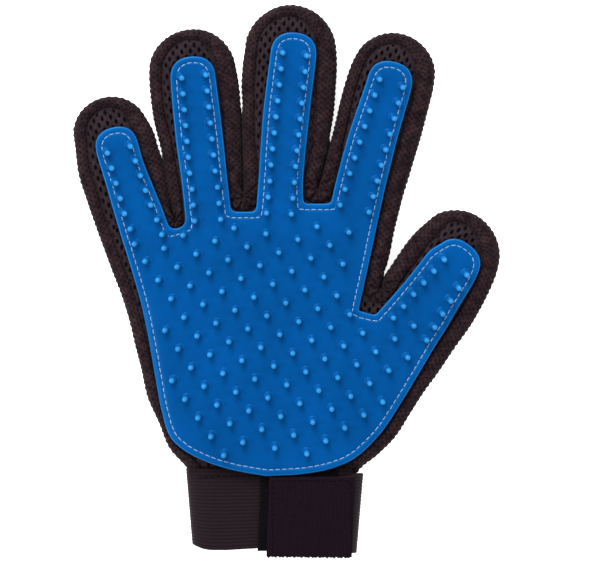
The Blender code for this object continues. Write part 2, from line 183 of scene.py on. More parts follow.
# ---- nubs
# Nub tips: a turned square lattice on the palm, and two rows (first, last, count) on each finger
LATTICE = (12.65, 22.95)
LATTICE_SPAN = 33
LATTICE_E1 = (8.01, 5.45)
LATTICE_E2 = (5.47, -7.86)
ROWS = {
    "little": [((-75.0, 53.7), (-64.3, 15.6), 7), ((-65.4, 56.5), (-52.7, 19.6), 7)],
    "ring": [((-43.9, 85.2), (-38.9, 25.3), 10), ((-33.8, 86.5), (-27.9, 26.0), 10)],
    "middle": [((-1.5, 95.8), (-8.6, 28.6), 11), ((8.6, 94.5), (1.9, 28.2), 11)],
    "index": [((39.2, 84.6), (22.4, 32.0), 9), ((48.9, 81.2), (34.6, 29.0), 9)],
    "thumb": [((66.3, 8.9), (44.9, -15.4), 6), ((75.8, 2.4), (58.9, -24.8), 6)],
}
NUB_PROFILE = ((2.0, 0.0), (1.62, 0.16), (1.42, 0.5), (1.34, 1.2), (1.3, 2.2), (1.24, 2.9),
               (1.1, 3.35), (0.82, 3.68), (0.42, 3.83))
NUB_TOP = 3.87
NUB_SIDES = 14
NUB_GLOW = (0.3, 0.35, 0.25)  # painted glow at the foot, added up its side, and a painted highlight added at its head
NUB_SIDE = 0.8  # share of its height
# where the painted highlight at a nub's head comes in
NUB_HEAD = (0.84, 0.16)
# painted highlight at a nub's top point
NUB_TOP_HIGHLIGHT = 0.9
LEAN_THUMB = (1.0, -1.3)  # how far a nub's tip stands off its foot: on the thumb,
LEAN_FINGER = (0.9, -0.8)  # on the other fingers,
LEAN_PALM = (-0.15, -0.4)  # and in the middle of the palm, where it grows
LEAN_GROWS = 0.9  # by this much
LEAN_OVER = (50, 75)  # over these distances
LATTICE_EDGE = 1.9  # lattice nubs' least distance from the stitching
LATTICE_ROWS = 5.7  # and from the fingers' rows
LATTICE_ROOT = -4.0  # and above a finger's root
LATTICE_ALSO = [(-5, -3), (-1, 4)]  # lattice steps kept although they are nearer than that
LATTICE_NOT = [(-8, 7), (2, 0)]  # and steps left out
STRIP_REACH = 16.0  # half the width that counts as above a root
TUCK = 0.26  # the hand's cloth thins by this share under the elastic
TUCK_Y = -74.5
TUCK_FADE = 5.0
ROOT_CLEAR = 2.2  # a nub nearer to the root line stands on the palm's piece

# ---- stitches
# Each kind: distance between stitches, the share of it that shows, and the thread's radius
PAD_STITCH = (2.75, 0.74, 0.16)
CUFF_STITCH = (2.6, 0.7, 0.22)
STRAP_STITCH = (2.4, 0.7, 0.2)
STITCH_STRAY = 0.09
STITCH_SIDES = 8
STITCH_FLAT = 0.8
# Along a stitch: share of its length, size, and rise over the cloth as a share of its radius
STITCH_SHAPE = ((0, 0.5, -0.5), (0.08, 0.8, -0.15), (0.25, 1, 0.1), (0.5, 1.05, 0.16),
                (0.75, 1, 0.1), (0.92, 0.8, -0.15), (1, 0.5, -0.5))
PAD_STITCH_Z = 20.86
STITCH_REACH = 15  # half the width of the stitches that bend with a finger

# ---- cuff
CUFF_Y = (-112.9, -78.4)
CUFF_MIDDLE = -5.4
CUFF_TAPER = 0.078  # the cuff narrows by this share,
CUFF_TALL = 35  # over this height
ELASTIC_HALF = 0.62
ELASTIC_STEP = 1.2
RIB_PITCH = 1.45
RIB_STEPS = 8
RIB_RISE = 0.2
RIB_ROUND = 0.6  # power: below 1, the ribs are fuller and the grooves between them sharper
# below this share of a rib's swing the groove gets painted shade
RIB_GROOVE = 0.75
RIB_EDGE = 60  # the ribs fade out over one part in this many of the width, at each edge
LOWER_ROUND = 3.0  # the wrist band's lower edge turns up at its little side,
LOWER_TURN = (-33.0, 10.0, 2.2)  # from here, over this width and with this power,
LOWER_SLOPE = 0.055  # and rises towards the strap
LOWER_RISE = (27.0, 20)  # how far on the little side that starts, and its run
STRAP_SLOPE = 1.4  # the strap's upper edge drops this far towards the tab
STRAP_DROP = (22.0, 9.0)
HAND_ELASTIC = [(27.3, 15.0), (22.0, 15.7), (0.0, 15.9), (-26.0, 15.8), (-35.5, 15.2), (-40.6, 12.4),
                (-41.8, 8.5), (-40.6, 4.6), (-35.5, 1.9), (-26.0, 1.35), (0.0, 1.35),
                (22.0, 1.4)]
STRAP_ELASTIC = [(22.0, 1.4), (27.0, 2.6), (30.7, 5.6), (31.6, 9.5), (30.8, 13.8), (28.2, 17.2),
                 (23.0, 18.7), (14.0, 18.75), (2.0, 18.75)]
TAB_X = (-7.5, 28.4)
TAB_SKEW = 0.034  # the tab turns a little, its lower edge towards the little side
STRAP_Y = (-114.2, -80.6)
TAB_Y = (-115.9, -82.2)
LOOP_X = (-11.3, 21.0)
LOOP_Y = (-113.2, -79.0)
LOOP_Z = (16.7, 17.7)
TAB_Z = (19.6, 20.7)
FIELD_END = 20.0
FIELD_IN = (1, 2)  # the hooks are this far inside the tab's side and its ends
FIELD_Z = (17.9, 19.5)
TAPE_STEP = 0.35
FIELD_STEP = 0.3
TAPE_ROUND = 0.3  # how far a tape's edges are rounded off,
TAPE_EDGE = 0.8  # over this width
TAPE_BACK = (0.5, 0.3)  # shares of the rounding and of the relief that its back has
HOOK_PITCH = 1.1
CUFF_SEAM = [(-38.0, -82.0), (20.0, -82.0)]
CUFF_SEAM_Z = 16.7
STRAP_SEAM_Z = 20.78
STRAP_SEAM_IN = 1.4  # the strap's stitching is this far inside the tab

# ---- textures and colours
KNIT_PITCH = 2.35  # pits of the side bands
KNIT_ROW = 1.55
KNIT_SIZE = (0.5, 0.55)  # a pit's half width along and down the band
KNIT_DEPTH = 0.38
# painted shade in the knit's pits
KNIT_SHADE = 0.85
KNIT_SHOULDER = (14.0, 2.0)  # above this the pits show even where two fingers touch
SCALLOP = 0.29
SCALLOP_LEVEL = 0.4
SCALLOP_IN = (2.2, 1.6)  # least depth without scallops, and the width of their fade
SCALLOP_LOW = (3.0, 3.0)  # they fade in above the table
TOUCH_FADE = (0.4, 2.0)  # where two fingers touch, the bands are smooth
FOLD_LOW = (8.0, 6.0)  # folds show on the upper side of the band
FOLD_EDGE = 1.2
BAND_LIFT = 0.12
SEAM_LOW = 15  # the seam's painted shade line is only on the upper side
# painted shade along the seam's groove
SEAM_SHADE = 0.2
SHARP = 72.0  # edges turned by more than this stay sharp
HOLE_PITCH = 3.65  # holes of the palm's mesh
HOLE_ROW = 2.4
HOLE_WIDE = 0.64
HOLE_LONG = 1.18
HOLE_DEPTH = 0.8
HOLE_RIM = (0.62, 0.6)
HOLE_CLEAR = 1.1  # the mesh fades out this near to the seam
GATHER = 0.6
GATHER_IN = (0.6, 2.4)  # distances from a crotch where the folds come in
GATHER_OUT = (4.0, 5.5)  # and go out
UNEVEN = 0.12
PALM_LIFT = 0.1
PALM_UNEVEN = 0.5
FINE = (0.34, 0.24)  # spacing and margin of the points where the palm's mesh shows
COARSE = (3.0, 1.0)  # where nothing shows,
UNDER = (3.0, 0.8)  # under the silicone,
FACE_GRID = (1.6, 0.9)  # on its face
FOOT_GRID = (3.0, 1.5)  # and on its underside
FABRIC = (0.0060, 0.0031, 0.0057)
FABRIC_BROWN = (0.0290, 0.0158, 0.0166)
FABRIC_PALM = (0.0138, 0.0085, 0.0114)
FABRIC_NET = (0.0260, 0.0165, 0.0200)
FABRIC_DARK = (0.0060, 0.0035, 0.0055)
# painted shade in the pits and holes
FABRIC_PIT_SHADE = (0.0012, 0.0008, 0.0011)
SILICONE = (0.0, 0.0435, 0.176)
# painted sheen of the border, also blended into the nubs' painted glow
SILICONE_SHEEN = (0.0, 0.054, 0.204)
# painted highlight and glow of the nubs' heads and the rounded edge
SILICONE_HIGHLIGHT = (0.022, 0.195, 0.470)
SILICONE_GLOSS = (0.10, 0.62, 1.0)  # tint of its reflections

# ---- studio, in metres
WORLD = 0.6
FLOOR_HALF = 3.0
FLOOR_LOW = -0.0002
FLOOR_GLOW = 0.85
CAMERA_HEIGHT = 4.0
CAMERA_AT = (0.0055, -0.0014)
FRAME_WIDTH = 0.252
SENSOR = 36.0
FACE_METRES = 0.02  # height of the silicone's face, which the frame's width is measured at
# Each lamp: place, diameter, power
LIGHTS = {
    "key": ((-0.45, 1.0, 1.1), 1.15, 27.0),
    "fill_right": ((1.1, 0.3, 0.9), 0.9, 8.0),
    "fill_low": ((-0.2, -1.2, 0.9), 0.9, 6.0),
    "brow": ((-0.3, 1.3, 0.7), 0.7, 9.0),
    "rim_left": ((-1.4, 0.5, 0.25), 0.3, 5.0),
    "sheen_left": ((-1.0, -0.15, 0.95), 0.35, 7.0),
}


def smooth(t):
    t = np.clip(t, 0.0, 1.0)
    return t * t * (3 - 2 * t)


def fade(value, ramp):
    """0 below a ramp's start and 1 past its width, smooth between."""
    start, width = ramp
    return smooth((value - start) / width)


def lengths(vectors):
    return np.linalg.norm(vectors, axis=1)


def unit(vectors):
    return vectors / np.maximum(lengths(vectors), 1e-9)[:, None]


def distance_along(path):
    return np.concatenate([[0], np.cumsum(lengths(np.diff(path, axis=0)))])


def between(t, low, high, start, end):
    """start where t is low, end where it is high."""
    return (high - t) / (high - low) * start + (t - low) / (high - low) * end


def curve(points, step=0.25):
    """A smooth curve through the points (centripetal Catmull-Rom), sampled about every step."""
    p = [np.array(q, float) for q in points]
    p = [2 * p[0] - p[1]] + p + [2 * p[-1] - p[-2]]
    out = []
    for a, b, c, d in zip(p, p[1:], p[2:], p[3:]):
        k = [0.0]
        for v, w in ((a, b), (b, c), (c, d)):
            k.append(k[-1] + max(np.linalg.norm(w - v), 1e-6) ** 0.5)
        count = max(2, int(np.linalg.norm(c - b) / step))
        t = np.linspace(k[1], k[2], count, endpoint=False)[:, None]
        first, second, third = (between(t, k[i], k[i + 1], v, w)
                                for i, (v, w) in enumerate(((a, b), (b, c), (c, d))))
        early = between(t, k[0], k[2], first, second)
        late = between(t, k[1], k[3], second, third)
        out.append(between(t, k[1], k[2], early, late))
    out.append(p[-2][None])
    return np.concatenate(out)


def arc(centre, radius, start, end, step=22.0, square=0.0):
    """Points round a circle, clockwise between two angles; square pushes its shoulders out."""
    count = max(2, int(abs(start - end) / step) + 1)
    middle = math.radians((start + end) / 2)
    out = []
    for a in np.radians(np.linspace(start, end, count)):
        reach = radius * (1 + square * math.sin(2 * (a - middle)) ** 2)
        out.append((centre[0] + reach * math.cos(a), centre[1] + reach * math.sin(a)))
    return out


def evenly(path, step):
    """The path again, with its points evenly spaced."""
    along = distance_along(path)
    at = np.linspace(0, along[-1], max(2, int(round(along[-1] / step)) + 1))
    return np.stack([np.interp(at, along, path[:, k]) for k in range(2)], axis=1)


def normals_of(path):
    """Unit normals to the right of the path, which is the glove's inside."""
    t = unit(np.gradient(path, axis=0))
    return np.stack([t[:, 1], -t[:, 0]], axis=1)


def finger_frames():
    """Each finger's root, and its directions along and across, from the frame's joints."""
    found = {}
    for joint in frame["joints"]:
        name = joint["name"].split("_")[0]
        if name in FINGERS:
            across = np.array(joint["axis"][:2], float)
            found[name] = {
                "root": np.array(joint["pos_m"][:2], float) / MM,
                "height": joint["pos_m"][2] / MM,
                "across": across,
                "along": np.array([-across[1], across[0]]),
            }
    return found


ROOTS = finger_frames()


def along_finger(name, points):
    """How far points are above a finger's root line."""
    root = ROOTS[name]
    return (points - root["root"]) @ root["along"]


def cloth_outline():
    """The whole outline from the wrist's little side to its thumb side, with inward normals."""
    pieces, turns = [], []
    start = list(LITTLE_EDGE)
    for i, name in enumerate(FINGERS):
        tip = TIPS[name]
        points = start + tip["before"] + arc(tip["centre"], tip["radius"], *tip["arc"])
        points += tip["after"]
        if i + 1 < len(FINGERS):
            touching = [np.array(q) for q in CROTCHES[(name, FINGERS[i + 1])]]
            line = (touching[0] - touching[-1]) / np.linalg.norm(touching[0] - touching[-1])
            side = np.array([line[1], -line[0]]) * TOUCH
            points += [tuple(q - side) for q in touching]
            start = [tuple(q + side) for q in reversed(touching)]
        else:
            points += THUMB_EDGE
        run = evenly(curve(points), PATH_STEP)
        turns.append(normals_of(run))
        pieces.append(run)
    path, normal, owner = [pieces[0]], [turns[0]], [np.zeros(len(pieces[0]), int)]
    for i, (run, turn) in enumerate(zip(pieces[1:], turns[1:]), 1):
        first, last = path[-1][-1], run[0]
        a0 = math.atan2(normal[-1][-1][1], normal[-1][-1][0])
        a1 = math.atan2(turn[0][1], turn[0][0])
        if a1 < a0:
            a1 += 2 * math.pi
        k = np.linspace(0, 1, FAN + 2)[1:-1]
        angle = a0 + (a1 - a0) * k
        middle = (first + last) / 2
        reach = np.linalg.norm(last - first) / 2
        out = np.stack([np.cos(angle), np.sin(angle)], axis=1)
        path += [middle + out * reach, run]
        normal += [out, turn]
        owner += [np.full(FAN, -1), np.full(len(run), i)]
    return np.concatenate(path), np.concatenate(normal), np.concatenate(owner)


def seam_depths(points, normal, owner, pad):
    """The seam's distance from each point of the outline."""
    left = np.clip(normal[:, 0], 0, 1) ** SEAM_TURN
    right = np.clip(-normal[:, 0], 0, 1) ** SEAM_TURN
    little_side = np.where(owner == FINGERS.index("thumb"), SEAM_THUMB, SEAM_LEFT)
    depth = SEAM_TIP + (little_side - SEAM_TIP) * left + (SEAM_RIGHT - SEAM_TIP) * right
    crotch = nearest(points, np.array([touching[-1] for touching in CROTCHES.values()]))
    near = 1 - fade(crotch, CROTCH_FADE)
    depth += (SEAM_CROTCH - depth) * np.where(owner < 0, 1.0, near)
    depth = np.minimum(depth, nearest(points, pad) + SEAM_COVER)
    wide = np.pad(depth, SEAM_EVEN // 2, mode="edge")
    evened = np.convolve(wide, np.full(SEAM_EVEN, 1 / SEAM_EVEN), mode="valid")
    return np.minimum(evened, nearest(points, pad) + SEAM_COVER)


def joined(curves, trims):
    """Closed chain of curves; each corner between one and the next is rounded over its trim."""
    out = []
    for i, here in enumerate(curves):
        after = curves[(i + 1) % len(curves)]
        corner = after[0]
        start = here[lengths(here - curves[i - 1][-1]) >= trims[i - 1]]
        kept = start[lengths(start - corner) >= trims[i]]
        out.append(kept)
        leave = after[lengths(after - corner) >= trims[i]][0]
        t = np.linspace(0, 1, CORNER_STEPS)[1:-1, None]
        out.append((1 - t) ** 2 * kept[-1] + 2 * t * (1 - t) * corner + t ** 2 * leave)
    return np.concatenate(out)


def silicone_outline(sharp=False):
    """The silicone's outline, clockwise from the bottom of the palm; sharp leaves its corners."""
    chains, trims = [], []
    points = [PALM_END] + LITTLE_SIDE
    for i, name in enumerate(FINGERS):
        strip = STRIPS[name]
        points += strip["before"]
        points += arc(strip["centre"], strip["radius"], *strip["arc"], step=STRIP_ARC,
                      square=TIP_SQUARE)
        points += strip["after"]
        if i < len(VALLEYS):
            (first, first_trim), (second, second_trim) = VALLEYS[i]
            chains += [curve(points + [first]), curve([first, second])]
            trims += [first_trim, second_trim]
            points = [second]
    chains.append(curve(points + THUMB_SIDE + [PALM_END]))
    trims.append(SHARP_TRIM)
    if sharp:
        trims = [SHARP_TRIM] * len(trims)
    closed = joined(chains, trims)
    return evenly(np.concatenate([closed, closed[:1]]), RIM_STEP)[:-1]


def mitred(path, distance):
    """A closed path moved inwards, its corners kept sharp."""
    before = path - np.roll(path, 1, axis=0)
    after = np.roll(path, -1, axis=0) - path
    turns = []
    for run in (before, after):
        run = unit(run)
        turns.append(np.stack([run[:, 1], -run[:, 0]], axis=1))
    middle = unit(turns[0] + turns[1])
    return path + middle * (distance / (middle * turns[0]).sum(1))[:, None]


def nearest(points, line):
    """Each point's distance to the nearest point of a line."""
    tree = KDTree(len(line))
    for i, (x, y) in enumerate(line):
        tree.insert((x, y, 0), i)
    tree.balance()
    return np.array([tree.find((x, y, 0))[2] for x, y in points])


def grid_inside(rings, spacing, margin):
    """Staggered grid points inside closed rings (odd-even), at least margin from their points."""
    a = np.concatenate(rings)
    b = np.concatenate([np.roll(ring, -1, axis=0) for ring in rings])
    rise = spacing * math.sqrt(3) / 2
    out = [np.zeros((0, 2))]
    for j in range(math.ceil(a[:, 1].min() / rise), math.floor(a[:, 1].max() / rise) + 1):
        y = j * rise + OFF_GRID
        hit = (a[:, 1] > y) != (b[:, 1] > y)
        p, q = a[hit], b[hit]
        cross = np.sort(p[:, 0] + (y - p[:, 1]) / (q[:, 1] - p[:, 1]) * (q[:, 0] - p[:, 0]))
        shift = (j % 2) / 2
        for x0, x1 in zip(cross[::2], cross[1::2]):
            k = np.arange(math.ceil((x0 + margin) / spacing - shift),
                          math.floor((x1 - margin) / spacing - shift) + 1)
            out.append(np.stack([(k + shift) * spacing, np.full(len(k), y)], axis=1))
    points = np.concatenate(out)
    return points[nearest(points, a) > margin] if len(points) else points


def inside(points, ring):
    """Which points are inside a closed ring."""
    b = np.roll(ring, -1, axis=0)
    found = np.zeros(len(points), bool)
    for p, q in zip(ring, b):
        cut = (p[1] > points[:, 1]) != (q[1] > points[:, 1])
        x = p[0] + (points[cut, 1] - p[1]) / (q[1] - p[1]) * (q[0] - p[0])
        found[cut] ^= points[cut, 0] < x
    return found


class Patch:
    """A mesh being made: points in millimetres, faces, and a shade from 0 to 1 at each point."""

    def __init__(self):
        self.points, self.shades, self.faces, self.count = [], [], [], 0

    def add(self, points, shade=0.0):
        points = np.asarray(points, float)
        ids = np.arange(self.count, self.count + points[..., 0].size).reshape(points.shape[:-1])
        self.points.append(points.reshape(-1, 3))
        self.shades.append(np.broadcast_to(shade, ids.shape).reshape(-1))
        self.count += ids.size
        return ids

    def quads(self, ids, wrap=False):
        """Quads over a grid of point numbers; wrap joins its last column to its first."""
        if wrap:
            ids = np.concatenate([ids, ids[:, :1]], axis=1)
        four = (ids[:-1, :-1], ids[1:, :-1], ids[1:, 1:], ids[:-1, 1:])
        self.faces += np.stack(four, axis=-1).reshape(-1, 4).tolist()

    def tube(self, rings, shade):
        """A closed tube through rings of points, capped at both ends."""
        ids = self.add(rings, shade)
        self.quads(ids, wrap=True)
        self.faces += [ids[0].tolist(), ids[-1].tolist()]

    def fill(self, ring, ring_xy, inner, height, shade=None):
        """Triangles inside a closed ring of point numbers, through inner points at a height."""
        shades = np.zeros(len(inner)) if shade is None else shade(inner)
        ids = self.add(np.column_stack([inner, height(inner)]), shades)
        numbers = np.concatenate([ring, ids])
        flat = [Vector(q) for q in np.concatenate([ring_xy, inner])]
        n = len(ring)
        edges = [(i, (i + 1) % n) for i in range(n)]
        made = delaunay_2d_cdt(flat, edges, [list(range(n))], 1, 1e-5)
        source = [numbers[own[0]] if own else -1 for own in made[3]]
        for face in made[2]:
            corners = [int(source[k]) for k in face]
            if min(corners) >= 0 and len(set(corners)) == len(corners):
                self.faces.append(corners)

    def build(self, name, material):
        points = np.concatenate(self.points) * MM
        mesh = bpy.data.meshes.new(name)
        mesh.from_pydata(points.tolist(), [], self.faces)
        mesh.validate()
        bm = bmesh.new()
        bm.from_mesh(mesh)
        bmesh.ops.recalc_face_normals(bm, faces=bm.faces)
        bm.to_mesh(mesh)
        bm.free()
        shade = mesh.attributes.new("shade", "FLOAT", "POINT")
        shade.data.foreach_set("value", np.concatenate(self.shades).astype(np.float32))
        mesh.shade_smooth()
        mesh.set_sharp_from_angle(angle=math.radians(SHARP))
        mesh.materials.append(material)
        obj = bpy.data.objects.new(name, mesh)
        bpy.context.scene.collection.objects.link(obj)
        return obj


def bend_with(obj):
    """obj's transform is baked into its mesh; nothing ties it to the hand or the finger."""
    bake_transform(obj)


def cut_at_roots(path, owner, closed):
    """The columns of each piece, as runs in order: one run for a finger, several for the hand."""
    pieces = {"hand": []}
    at = 0
    for i, name in enumerate(FINGERS):
        above = np.nonzero((owner == i) & (along_finger(name, path) >= 0))[0]
        pieces["hand"].append(np.arange(at, above[0] + 1))
        pieces[name] = [np.arange(above[0], above[-1] + 1)]
        at = above[-1]
    last = np.arange(at, len(path))
    if closed:
        pieces["hand"][0] = np.concatenate([last, pieces["hand"][0]])
    else:
        pieces["hand"].append(last)
    return pieces


def straight(a, b):
    """Points from a to b, both ends left out."""
    count = max(2, int(np.linalg.norm(b - a) / PATH_STEP))
    return a + (b - a) * np.linspace(0, 1, count + 1)[1:-1, None]


def joins(at, pieces, name):
    """The straight lines that close a piece's runs: root lines, and the line across the wrist."""
    if name != "hand":
        run = pieces[name][0]
        return [straight(at[run[0]], at[run[-1]])[::-1]]
    lines = [straight(at[pieces[f][0][0]], at[pieces[f][0][-1]]) for f in FINGERS]
    runs = pieces["hand"]
    if len(runs) > len(lines):
        lines.append(straight(at[runs[-1][-1]], at[runs[0][0]]))
    return lines


def border(at, pieces, name):
    """A piece's closed border through the columns' points."""
    parts = []
    for run, line in zip(pieces[name], joins(at, pieces, name)):
        parts += [at[run], line]
    return np.concatenate(parts)


# ---- materials
def shader_of(made):
    return made.node_tree.nodes["Principled BSDF"]


def material(name, roughness, specular, sheen=0.0, sheen_roughness=0.5):
    made = bpy.data.materials.new(name)
    made.use_nodes = True
    shader = shader_of(made)
    shader.inputs["Roughness"].default_value = roughness
    shader.inputs["Specular IOR Level"].default_value = specular
    shader.inputs["Sheen Weight"].default_value = sheen
    shader.inputs["Sheen Roughness"].default_value = sheen_roughness
    return made


def add(made, kind, **values):
    node = made.node_tree.nodes.new(kind)
    for key, value in values.items():
        if key in node.inputs:
            node.inputs[key].default_value = value
        else:
            setattr(node, key, value)
    return node


def link(made, source, node, key):
    made.node_tree.links.new(source, node.inputs[key])


def noise(made, scale, detail=3.0, roughness=0.55, stretch=(1, 1, 1)):
    """A noise with about scale features a millimetre, in the object's own space."""
    where = add(made, "ShaderNodeTexCoord")
    turn = add(made, "ShaderNodeMapping")
    turn.inputs["Scale"].default_value = stretch
    link(made, where.outputs["Object"], turn, "Vector")
    node = add(made, "ShaderNodeTexNoise", Scale=scale / MM, Detail=detail, Roughness=roughness)
    link(made, turn.outputs["Vector"], node, "Vector")
    return node.outputs["Fac"]


def ramp(made, source, stops):
    node = add(made, "ShaderNodeValToRGB")
    link(made, source, node, "Fac")
    band = node.color_ramp
    while len(band.elements) < len(stops):
        band.elements.new(0.5)
    for element, (at, colour) in zip(band.elements, stops):
        element.position = at
        element.color = (*colour, 1)
    return node.outputs["Color"]


def mixed(made, share, a, b, blend="MIX"):
    """Colour a turned into colour b by share; each is a socket or a value."""
    node = add(made, "ShaderNodeMix", data_type="RGBA", blend_type=blend)
    for key, value in ((0, share), (6, a), (7, b)):
        if isinstance(value, bpy.types.NodeSocket):
            made.node_tree.links.new(value, node.inputs[key])
        elif key:
            node.inputs[key].default_value = (*value, 1)
        else:
            node.inputs[key].default_value = value
    return node.outputs[2]


def bumped(made, height, strength, distance):
    node = add(made, "ShaderNodeBump", Strength=strength, Distance=distance * MM)
    link(made, height, node, "Height")
    link(made, node.outputs["Normal"], shader_of(made), "Normal")


def coloured(made, colour):
    link(made, colour, shader_of(made), "Base Color")


def rough(made, source, low, high):
    node = add(made, "ShaderNodeMapRange")
    node.inputs["To Min"].default_value = low
    node.inputs["To Max"].default_value = high
    link(made, source, node, "Value")
    link(made, node.outputs["Result"], shader_of(made), "Roughness")


# the shade attribute: painted shade on the cloth and tapes; painted sheen, glow and highlight on the
# silicone
def shade_of(made):
    return add(made, "ShaderNodeAttribute", attribute_name="shade").outputs["Fac"]


def mesh_cloth(name, plain, brown, contrast):
    """Knitted spacer mesh: painted shade in its pits, with patches of browner, paler yarn."""
    made = material(name, 0.9, 0.03, sheen=0.03, sheen_roughness=0.4)
    yarn = noise(made, 1.0, detail=3.0)
    patches = ramp(made, noise(made, 0.3, detail=4.0, roughness=0.7),
                   [(0.5 - contrast, plain), (0.5 + contrast, brown)])
    threads = mixed(made, ramp(made, yarn, [(0.25, (0.0,) * 3), (0.5, (1.0,) * 3)]), FABRIC_DARK,
                    patches)
    coloured(made, mixed(made, shade_of(made), threads, FABRIC_PIT_SHADE))
    bumped(made, yarn, 0.8, 0.35)
    return made


def silicone():
    """Satin silicone: painted sheen at its border, painted glow and a painted highlight in its nubs,
    which are a little glossier.
    """
    made = material("silicone", 0.42, 0.2)
    shader = shader_of(made)
    shader.inputs["Specular Tint"].default_value = (*SILICONE_GLOSS, 1)
    shade = shade_of(made)
    tone = ramp(made, shade, [(0.0, SILICONE), (0.5, SILICONE_SHEEN), (1.0, SILICONE_HIGHLIGHT)])
    cloud = ramp(made, noise(made, 0.05, detail=2.0), [(0.3, (0.88,) * 3), (0.7, (1.1,) * 3)])
    coloured(made, mixed(made, 1.0, tone, cloud, "MULTIPLY"))
    grain = noise(made, 1.6, detail=5.0)
    gloss = ramp(made, shade, [(0.5, (0.5,) * 3), (0.62, (0.0,) * 3)])
    rough(made, mixed(made, 0.25, gloss, grain), 0.2, 0.6)
    bumped(made, grain, 0.12, 0.05)
    return made


def thread(name, colour, dark, gloss):
    made = material(name, 0.6, gloss, sheen=gloss)
    twist = noise(made, 3.0, detail=2.0)
    coloured(made, ramp(made, twist, [(0.3, dark), (0.6, colour)]))
    bumped(made, twist, 0.5, 0.08)
    return made


def woven(name, pale, dark, pit, grain, stretch, gloss):
    """Elastic, hook and loop tape: yarns of a pale and a dark tone, with painted shade in the
    grooves.
    """
    made = material(name, 0.85, gloss, sheen=gloss)
    yarn = noise(made, grain, detail=3.0, stretch=stretch)
    tone = ramp(made, yarn, [(0.3, dark), (0.7, pale)])
    coloured(made, mixed(made, shade_of(made), tone, pit))
    bumped(made, yarn, 0.5, 0.14)
    return made


# ---- cloth
def knit(s, t):
    """How deep a point lies in a pit of the side bands' knit, from 0 to 1."""
    row = np.round(t / KNIT_ROW)
    across = s / KNIT_PITCH + (row % 2) / 2
    ds = (across - np.round(across)) * KNIT_PITCH
    dt = t - row * KNIT_ROW
    return np.exp(-(ds / KNIT_SIZE[0]) ** 2 - (dt / KNIT_SIZE[1]) ** 2)


def mesh_holes(points, lean):
    """How deep a point lies in a hole of the panels' mesh, from 0 to 1."""
    c, n = math.cos(lean), math.sin(lean)
    x = points[:, 0] * c - points[:, 1] * n
    y = points[:, 0] * n + points[:, 1] * c
    row = np.round(y / HOLE_ROW)
    across = x / HOLE_PITCH + (row % 2) / 2
    dx = (across - np.round(across)) * HOLE_PITCH
    dy = y - row * HOLE_ROW
    return 1 - fade(np.hypot(dx / HOLE_WIDE, dy / HOLE_LONG), HOLE_RIM)


def gathers(points):
    """Folds that run out from each crotch, where the side band is gathered in."""
    total = np.zeros(len(points))
    for i, touching in enumerate(CROTCHES.values()):
        off = points - np.array(touching[-1])
        far = np.hypot(off[:, 0], off[:, 1])
        angle = np.arctan2(off[:, 0], -off[:, 1])
        wave = np.sin(7.3 * angle + i) + 0.7 * np.sin(12.1 * angle + 2.1 * i)
        total += wave * GATHER * fade(far, GATHER_IN) * (1 - fade(far, GATHER_OUT))
    return total


def unevenness(points):
    """Slow rises and falls of the cloth: two crossed waves, each bent by the other's direction."""
    x, y = points[:, 0], points[:, 1]
    wide = np.sin(x / 5.1 + 1.3 * np.sin(y / 7.7))
    return UNEVEN * (wide + np.sin(y / 4.3 + 1.1 * np.sin(x / 6.1)))


def band_profile():
    """The side band's section: its outside, then its inside."""
    outside = [evenly(curve(BAND_CROWN), CROWN_STEP), evenly(curve(BAND_SKIRT), SKIRT_STEP)[1:]]
    return np.concatenate(outside + [np.array(BAND_LINING)])


def band_points(path, normal, profile, depth):
    """The band's points, textured on its outside, and the painted shade of its pits and of the
    seam's line.
    """
    out = normals_of(profile)
    along = distance_along(path + normal * SEAM_U / 2)
    stretch = np.where(profile[:, 1] > EDGE_Z, (depth / SEAM_U)[:, None], 1.0)
    u = profile[:, 0] * stretch
    z = profile[:, 1] + 0 * u
    down = np.cumsum(np.hypot(np.diff(u, axis=1, prepend=u[:, :1]),
                              np.diff(z, axis=1, prepend=z[:, :1])), axis=1)
    edge = np.argmin(profile[:, 0])
    down -= down[:, edge:edge + 1]
    number = np.arange(len(profile))
    outside = (number < len(profile) - len(BAND_LINING)) & (number > 0)
    pit = knit(along[:, None], down) * outside
    seam_shade_line = SEAM_SHADE * (1 - smooth((depth[:, None] - u) / SEAM_LINE)) * (z > SEAM_LOW)
    at = path[:, None] + normal[:, None] * u[..., None]
    flat = at.reshape(-1, 2)
    slow = (unevenness(flat) + gathers(flat)).reshape(u.shape)
    upper = fade(z, FOLD_LOW) * outside * smooth((depth[:, None] - u) / FOLD_EDGE)
    swell = np.sin(along / 9.0) + np.sin(along / 5.3)
    wave = np.sin(np.pi * along / KNIT_PITCH + 0.5 * swell) ** 2 - SCALLOP_LEVEL
    touching = np.concatenate([evenly(np.array(line), PATH_STEP) for line in CROTCHES.values()])
    free = fade(nearest(path, touching), TOUCH_FADE)[:, None]
    scallop = SCALLOP * (wave * (1 + 0.3 * np.sin(along / 3.7)))[:, None] * free
    side = smooth((SCALLOP_IN[0] - u) / SCALLOP_IN[1]) * fade(z, SCALLOP_LOW) * outside
    sunk = KNIT_DEPTH * pit * np.maximum(free, fade(z, KNIT_SHOULDER))
    lift = BAND_LIFT * outside - sunk + slow * upper + scallop * side
    at = at + normal[:, None] * (lift * out[:, 0])[..., None]
    shade = np.maximum(pit * KNIT_SHADE, seam_shade_line)
    return np.concatenate([at, (z + lift * out[:, 1])[..., None]], axis=-1), shade


def tucked(points):
    """The hand's cloth thins towards the wrist, where the elastic lies over it."""
    share = 1 - TUCK * smooth((TUCK_Y - points[..., 1:2]) / TUCK_FADE)
    return np.concatenate([points[..., :2], points[..., 2:] * share], axis=-1)


def make_band(name, points, pits, run, material):
    patch = Patch()
    patch.tube(tucked(points[run]), pits[run])
    return patch.build(name, material)


